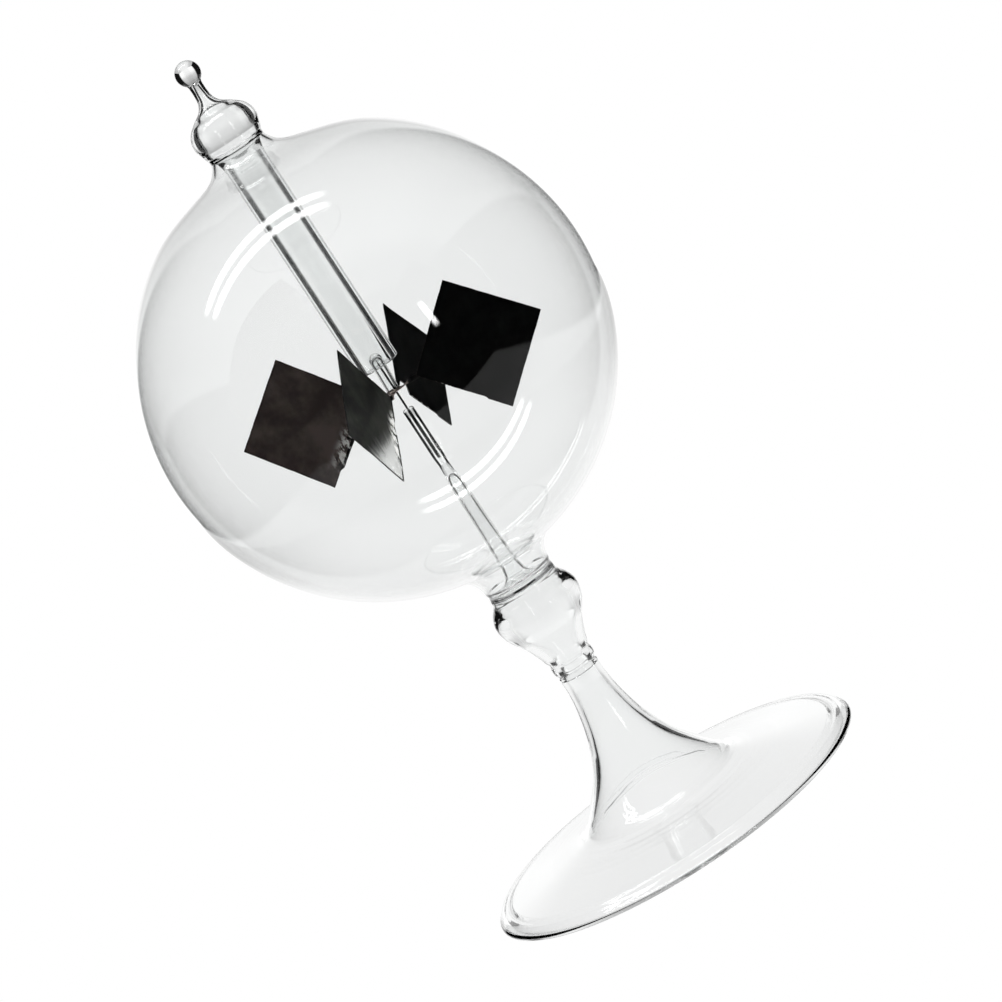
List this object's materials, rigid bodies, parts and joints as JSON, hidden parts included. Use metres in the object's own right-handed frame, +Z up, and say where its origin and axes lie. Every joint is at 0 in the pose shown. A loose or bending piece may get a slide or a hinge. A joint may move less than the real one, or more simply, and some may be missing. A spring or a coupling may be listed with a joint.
{
  "type": "radiometer",
  "caption": "Light mill: four blacked square vanes turn on a needle inside an evacuated glass globe with a blown finial, baluster and trumpet foot.",
  "frame": {"origin": "bottom centre of the foot, on the glass axis", "axes": "+Z up along the glass axis and the rotor's spin axis, +X towards the first vane's side, -Y towards the viewer"},
  "size_m": [0.1, 0.1, 0.1895],
  "materials": {
    "envelope_glass": "clear blown soda glass",
    "tube_glass": "clear drawn tubing",
    "stem_glass": "clear drawn tubing",
    "stand_glass": "clear blown soda glass",
    "cup_glass": "clear drawn tubing",
    "needle_steel": "polished steel",
    "spider_metal": "thin bright sheet metal",
    "vane_mica": "smoky silvery mica, semi-gloss, flaking at its lower edge",
    "lamp_black": "dead black soot coat"
  },
  "bodies": {
    "stand": {"finial_ball": "envelope_glass", "exhaust_neck": "envelope_glass", "crown_bubble": "envelope_glass", "crown_seal": "envelope_glass", "globe": "envelope_glass", "guard_tube": "tube_glass", "support_stem": "stem_glass", "needle_holder": "stem_glass", "needle": "needle_steel", "globe_seal": "stand_glass", "baluster": "stand_glass", "foot_seal": "stand_glass", "foot": "stand_glass"},
    "rotor": {"bearing_cup": "cup_glass", "spider": "spider_metal", "vane_1": "vane_mica", "vane_2": "vane_mica", "vane_3": "vane_mica", "vane_4": "vane_mica", "blacking_1": "lamp_black", "blacking_2": "lamp_black", "blacking_3": "lamp_black", "blacking_4": "lamp_black"}
  },
  "joints": [
    {"name": "rotor_spin", "type": "hinge", "parent": "stand", "child": "rotor", "pos_m": [0, 0, 0.117], "axis": [0, 0, 1], "continuous": true}
  ]
}
